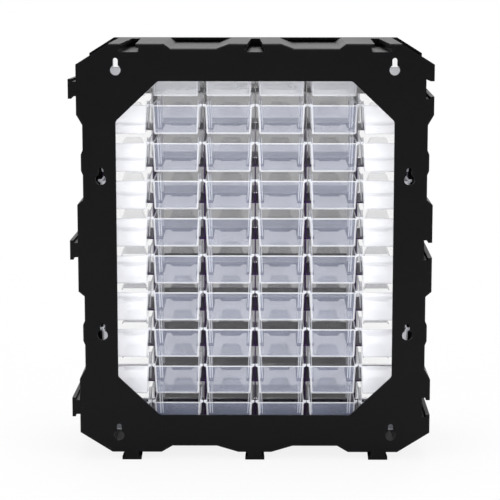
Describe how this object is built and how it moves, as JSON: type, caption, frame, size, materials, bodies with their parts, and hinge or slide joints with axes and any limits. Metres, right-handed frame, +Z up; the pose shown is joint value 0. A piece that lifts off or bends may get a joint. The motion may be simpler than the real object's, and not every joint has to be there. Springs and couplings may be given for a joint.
{
  "type": "small parts drawer cabinet",
  "caption": "Upright cabinet of small clear pull-out drawers in a dark plastic housing with an open back, keyholes for hanging and rails and grooves that link it to others.",
  "frame": {"origin": "on the surface that the cabinet stands on, under the middle of the cabinet", "axes": "+Z up, drawers open towards -Y, the open back faces +Y, rails on the +X side"},
  "size_m": [0.3781, 0.1681, 0.4401],
  "materials": {
    "black_plastic": "satin",
    "clear_drawer": "milky clear"
  },
  "bodies": {
    "cabinet": {"rear_housing": "black_plastic", "front_bezel": "black_plastic", "front_lattice": "black_plastic"},
    "drawer_r01_c1": {"drawer_r01_c1": "clear_drawer"},
    "drawer_r01_c2": {"drawer_r01_c2": "clear_drawer"},
    "drawer_r01_c3": {"drawer_r01_c3": "clear_drawer"},
    "drawer_r01_c4": {"drawer_r01_c4": "clear_drawer"},
    "drawer_r01_c5": {"drawer_r01_c5": "clear_drawer"},
    "drawer_r01_c6": {"drawer_r01_c6": "clear_drawer"},
    "drawer_r02_c1": {"drawer_r02_c1": "clear_drawer"},
    "drawer_r02_c2": {"drawer_r02_c2": "clear_drawer"},
    "drawer_r02_c3": {"drawer_r02_c3": "clear_drawer"},
    "drawer_r02_c4": {"drawer_r02_c4": "clear_drawer"},
    "drawer_r02_c5": {"drawer_r02_c5": "clear_drawer"},
    "drawer_r02_c6": {"drawer_r02_c6": "clear_drawer"},
    "drawer_r03_c1": {"drawer_r03_c1": "clear_drawer"},
    "drawer_r03_c2": {"drawer_r03_c2": "clear_drawer"},
    "drawer_r03_c3": {"drawer_r03_c3": "clear_drawer"},
    "drawer_r03_c4": {"drawer_r03_c4": "clear_drawer"},
    "drawer_r03_c5": {"drawer_r03_c5": "clear_drawer"},
    "drawer_r03_c6": {"drawer_r03_c6": "clear_drawer"},
    "drawer_r04_c1": {"drawer_r04_c1": "clear_drawer"},
    "drawer_r04_c2": {"drawer_r04_c2": "clear_drawer"},
    "drawer_r04_c3": {"drawer_r04_c3": "clear_drawer"},
    "drawer_r04_c4": {"drawer_r04_c4": "clear_drawer"},
    "drawer_r04_c5": {"drawer_r04_c5": "clear_drawer"},
    "drawer_r04_c6": {"drawer_r04_c6": "clear_drawer"},
    "drawer_r05_c1": {"drawer_r05_c1": "clear_drawer"},
    "drawer_r05_c2": {"drawer_r05_c2": "clear_drawer"},
    "drawer_r05_c3": {"drawer_r05_c3": "clear_drawer"},
    "drawer_r05_c4": {"drawer_r05_c4": "clear_drawer"},
    "drawer_r05_c5": {"drawer_r05_c5": "clear_drawer"},
    "drawer_r05_c6": {"drawer_r05_c6": "clear_drawer"},
    "drawer_r06_c1": {"drawer_r06_c1": "clear_drawer"},
    "drawer_r06_c2": {"drawer_r06_c2": "clear_drawer"},
    "drawer_r06_c3": {"drawer_r06_c3": "clear_drawer"},
    "drawer_r06_c4": {"drawer_r06_c4": "clear_drawer"},
    "drawer_r06_c5": {"drawer_r06_c5": "clear_drawer"},
    "drawer_r06_c6": {"drawer_r06_c6": "clear_drawer"},
    "drawer_r07_c1": {"drawer_r07_c1": "clear_drawer"},
    "drawer_r07_c2": {"drawer_r07_c2": "clear_drawer"},
    "drawer_r07_c3": {"drawer_r07_c3": "clear_drawer"},
    "drawer_r07_c4": {"drawer_r07_c4": "clear_drawer"},
    "drawer_r07_c5": {"drawer_r07_c5": "clear_drawer"},
    "drawer_r07_c6": {"drawer_r07_c6": "clear_drawer"},
    "drawer_r08_c1": {"drawer_r08_c1": "clear_drawer"},
    "drawer_r08_c2": {"drawer_r08_c2": "clear_drawer"},
    "drawer_r08_c3": {"drawer_r08_c3": "clear_drawer"},
    "drawer_r08_c4": {"drawer_r08_c4": "clear_drawer"},
    "drawer_r08_c5": {"drawer_r08_c5": "clear_drawer"},
    "drawer_r08_c6": {"drawer_r08_c6": "clear_drawer"},
    "drawer_r09_c1": {"drawer_r09_c1": "clear_drawer"},
    "drawer_r09_c2": {"drawer_r09_c2": "clear_drawer"},
    "drawer_r09_c3": {"drawer_r09_c3": "clear_drawer"},
    "drawer_r09_c4": {"drawer_r09_c4": "clear_drawer"},
    "drawer_r09_c5": {"drawer_r09_c5": "clear_drawer"},
    "drawer_r09_c6": {"drawer_r09_c6": "clear_drawer"},
    "drawers_r10_c1_c2": {"drawers_r10_c1_c2": "clear_drawer"},
    "drawers_r10_c3_c4": {"drawers_r10_c3_c4": "clear_drawer"},
    "drawers_r10_c5_c6": {"drawers_r10_c5_c6": "clear_drawer"}
  },
  "joints": [
    {"name": "slide_r01_c1", "type": "slide", "parent": "cabinet", "child": "drawer_r01_c1", "axis": [0, -1, 0], "range_m": [0, 0.056]},
    {"name": "slide_r01_c2", "type": "slide", "parent": "cabinet", "child": "drawer_r01_c2", "axis": [0, -1, 0], "range_m": [0, 0.056]},
    {"name": "slide_r01_c3", "type": "slide", "parent": "cabinet", "child": "drawer_r01_c3", "axis": [0, -1, 0], "range_m": [0, 0.056]},
    {"name": "slide_r01_c4", "type": "slide", "parent": "cabinet", "child": "drawer_r01_c4", "axis": [0, -1, 0], "range_m": [0, 0.056]},
    {"name": "slide_r01_c5", "type": "slide", "parent": "cabinet", "child": "drawer_r01_c5", "axis": [0, -1, 0], "range_m": [0, 0.056]},
    {"name": "slide_r01_c6", "type": "slide", "parent": "cabinet", "child": "drawer_r01_c6", "axis": [0, -1, 0], "range_m": [0, 0.056]},
    {"name": "slide_r02_c1", "type": "slide", "parent": "cabinet", "child": "drawer_r02_c1", "axis": [0, -1, 0], "range_m": [0, 0.056]},
    {"name": "slide_r02_c2", "type": "slide", "parent": "cabinet", "child": "drawer_r02_c2", "axis": [0, -1, 0], "range_m": [0, 0.056]},
    {"name": "slide_r02_c3", "type": "slide", "parent": "cabinet", "child": "drawer_r02_c3", "axis": [0, -1, 0], "range_m": [0, 0.056]},
    {"name": "slide_r02_c4", "type": "slide", "parent": "cabinet", "child": "drawer_r02_c4", "axis": [0, -1, 0], "range_m": [0, 0.056]},
    {"name": "slide_r02_c5", "type": "slide", "parent": "cabinet", "child": "drawer_r02_c5", "axis": [0, -1, 0], "range_m": [0, 0.056]},
    {"name": "slide_r02_c6", "type": "slide", "parent": "cabinet", "child": "drawer_r02_c6", "axis": [0, -1, 0], "range_m": [0, 0.056]},
    {"name": "slide_r03_c1", "type": "slide", "parent": "cabinet", "child": "drawer_r03_c1", "axis": [0, -1, 0], "range_m": [0, 0.056]},
    {"name": "slide_r03_c2", "type": "slide", "parent": "cabinet", "child": "drawer_r03_c2", "axis": [0, -1, 0], "range_m": [0, 0.056]},
    {"name": "slide_r03_c3", "type": "slide", "parent": "cabinet", "child": "drawer_r03_c3", "axis": [0, -1, 0], "range_m": [0, 0.056]},
    {"name": "slide_r03_c4", "type": "slide", "parent": "cabinet", "child": "drawer_r03_c4", "axis": [0, -1, 0], "range_m": [0, 0.056]},
    {"name": "slide_r03_c5", "type": "slide", "parent": "cabinet", "child": "drawer_r03_c5", "axis": [0, -1, 0], "range_m": [0, 0.056]},
    {"name": "slide_r03_c6", "type": "slide", "parent": "cabinet", "child": "drawer_r03_c6", "axis": [0, -1, 0], "range_m": [0, 0.056]},
    {"name": "slide_r04_c1", "type": "slide", "parent": "cabinet", "child": "drawer_r04_c1", "axis": [0, -1, 0], "range_m": [0, 0.056]},
    {"name": "slide_r04_c2", "type": "slide", "parent": "cabinet", "child": "drawer_r04_c2", "axis": [0, -1, 0], "range_m": [0, 0.056]},
    {"name": "slide_r04_c3", "type": "slide", "parent": "cabinet", "child": "drawer_r04_c3", "axis": [0, -1, 0], "range_m": [0, 0.056]},
    {"name": "slide_r04_c4", "type": "slide", "parent": "cabinet", "child": "drawer_r04_c4", "axis": [0, -1, 0], "range_m": [0, 0.056]},
    {"name": "slide_r04_c5", "type": "slide", "parent": "cabinet", "child": "drawer_r04_c5", "axis": [0, -1, 0], "range_m": [0, 0.056]},
    {"name": "slide_r04_c6", "type": "slide", "parent": "cabinet", "child": "drawer_r04_c6", "axis": [0, -1, 0], "range_m": [0, 0.056]},
    {"name": "slide_r05_c1", "type": "slide", "parent": "cabinet", "child": "drawer_r05_c1", "axis": [0, -1, 0], "range_m": [0, 0.056]},
    {"name": "slide_r05_c2", "type": "slide", "parent": "cabinet", "child": "drawer_r05_c2", "axis": [0, -1, 0], "range_m": [0, 0.056]},
    {"name": "slide_r05_c3", "type": "slide", "parent": "cabinet", "child": "drawer_r05_c3", "axis": [0, -1, 0], "range_m": [0, 0.056]},
    {"name": "slide_r05_c4", "type": "slide", "parent": "cabinet", "child": "drawer_r05_c4", "axis": [0, -1, 0], "range_m": [0, 0.056]},
    {"name": "slide_r05_c5", "type": "slide", "parent": "cabinet", "child": "drawer_r05_c5", "axis": [0, -1, 0], "range_m": [0, 0.056]},
    {"name": "slide_r05_c6", "type": "slide", "parent": "cabinet", "child": "drawer_r05_c6", "axis": [0, -1, 0], "range_m": [0, 0.056]},
    {"name": "slide_r06_c1", "type": "slide", "parent": "cabinet", "child": "drawer_r06_c1", "axis": [0, -1, 0], "range_m": [0, 0.056]},
    {"name": "slide_r06_c2", "type": "slide", "parent": "cabinet", "child": "drawer_r06_c2", "axis": [0, -1, 0], "range_m": [0, 0.056]},
    {"name": "slide_r06_c3", "type": "slide", "parent": "cabinet", "child": "drawer_r06_c3", "axis": [0, -1, 0], "range_m": [0, 0.056]},
    {"name": "slide_r06_c4", "type": "slide", "parent": "cabinet", "child": "drawer_r06_c4", "axis": [0, -1, 0], "range_m": [0, 0.056]},
    {"name": "slide_r06_c5", "type": "slide", "parent": "cabinet", "child": "drawer_r06_c5", "axis": [0, -1, 0], "range_m": [0, 0.056]},
    {"name": "slide_r06_c6", "type": "slide", "parent": "cabinet", "child": "drawer_r06_c6", "axis": [0, -1, 0], "range_m": [0, 0.056]},
    {"name": "slide_r07_c1", "type": "slide", "parent": "cabinet", "child": "drawer_r07_c1", "axis": [0, -1, 0], "range_m": [0, 0.056]},
    {"name": "slide_r07_c2", "type": "slide", "parent": "cabinet", "child": "drawer_r07_c2", "axis": [0, -1, 0], "range_m": [0, 0.056]},
    {"name": "slide_r07_c3", "type": "slide", "parent": "cabinet", "child": "drawer_r07_c3", "axis": [0, -1, 0], "range_m": [0, 0.056]},
    {"name": "slide_r07_c4", "type": "slide", "parent": "cabinet", "child": "drawer_r07_c4", "axis": [0, -1, 0], "range_m": [0, 0.056]},
    {"name": "slide_r07_c5", "type": "slide", "parent": "cabinet", "child": "drawer_r07_c5", "axis": [0, -1, 0], "range_m": [0, 0.056]},
    {"name": "slide_r07_c6", "type": "slide", "parent": "cabinet", "child": "drawer_r07_c6", "axis": [0, -1, 0], "range_m": [0, 0.056]},
    {"name": "slide_r08_c1", "type": "slide", "parent": "cabinet", "child": "drawer_r08_c1", "axis": [0, -1, 0], "range_m": [0, 0.056]},
    {"name": "slide_r08_c2", "type": "slide", "parent": "cabinet", "child": "drawer_r08_c2", "axis": [0, -1, 0], "range_m": [0, 0.056]},
    {"name": "slide_r08_c3", "type": "slide", "parent": "cabinet", "child": "drawer_r08_c3", "axis": [0, -1, 0], "range_m": [0, 0.056]},
    {"name": "slide_r08_c4", "type": "slide", "parent": "cabinet", "child": "drawer_r08_c4", "axis": [0, -1, 0], "range_m": [0, 0.056]},
    {"name": "slide_r08_c5", "type": "slide", "parent": "cabinet", "child": "drawer_r08_c5", "axis": [0, -1, 0], "range_m": [0, 0.056]},
    {"name": "slide_r08_c6", "type": "slide", "parent": "cabinet", "child": "drawer_r08_c6", "axis": [0, -1, 0], "range_m": [0, 0.056]},
    {"name": "slide_r09_c1", "type": "slide", "parent": "cabinet", "child": "drawer_r09_c1", "axis": [0, -1, 0], "range_m": [0, 0.056]},
    {"name": "slide_r09_c2", "type": "slide", "parent": "cabinet", "child": "drawer_r09_c2", "axis": [0, -1, 0], "range_m": [0, 0.056]},
    {"name": "slide_r09_c3", "type": "slide", "parent": "cabinet", "child": "drawer_r09_c3", "axis": [0, -1, 0], "range_m": [0, 0.056]},
    {"name": "slide_r09_c4", "type": "slide", "parent": "cabinet", "child": "drawer_r09_c4", "axis": [0, -1, 0], "range_m": [0, 0.056]},
    {"name": "slide_r09_c5", "type": "slide", "parent": "cabinet", "child": "drawer_r09_c5", "axis": [0, -1, 0], "range_m": [0, 0.056]},
    {"name": "slide_r09_c6", "type": "slide", "parent": "cabinet", "child": "drawer_r09_c6", "axis": [0, -1, 0], "range_m": [0, 0.056]},
    {"name": "slide_r10_c1_c2", "type": "slide", "parent": "cabinet", "child": "drawers_r10_c1_c2", "axis": [0, -1, 0], "range_m": [0, 0.056]},
    {"name": "slide_r10_c3_c4", "type": "slide", "parent": "cabinet", "child": "drawers_r10_c3_c4", "axis": [0, -1, 0], "range_m": [0, 0.056]},
    {"name": "slide_r10_c5_c6", "type": "slide", "parent": "cabinet", "child": "drawers_r10_c5_c6", "axis": [0, -1, 0], "range_m": [0, 0.056]}
  ]
}
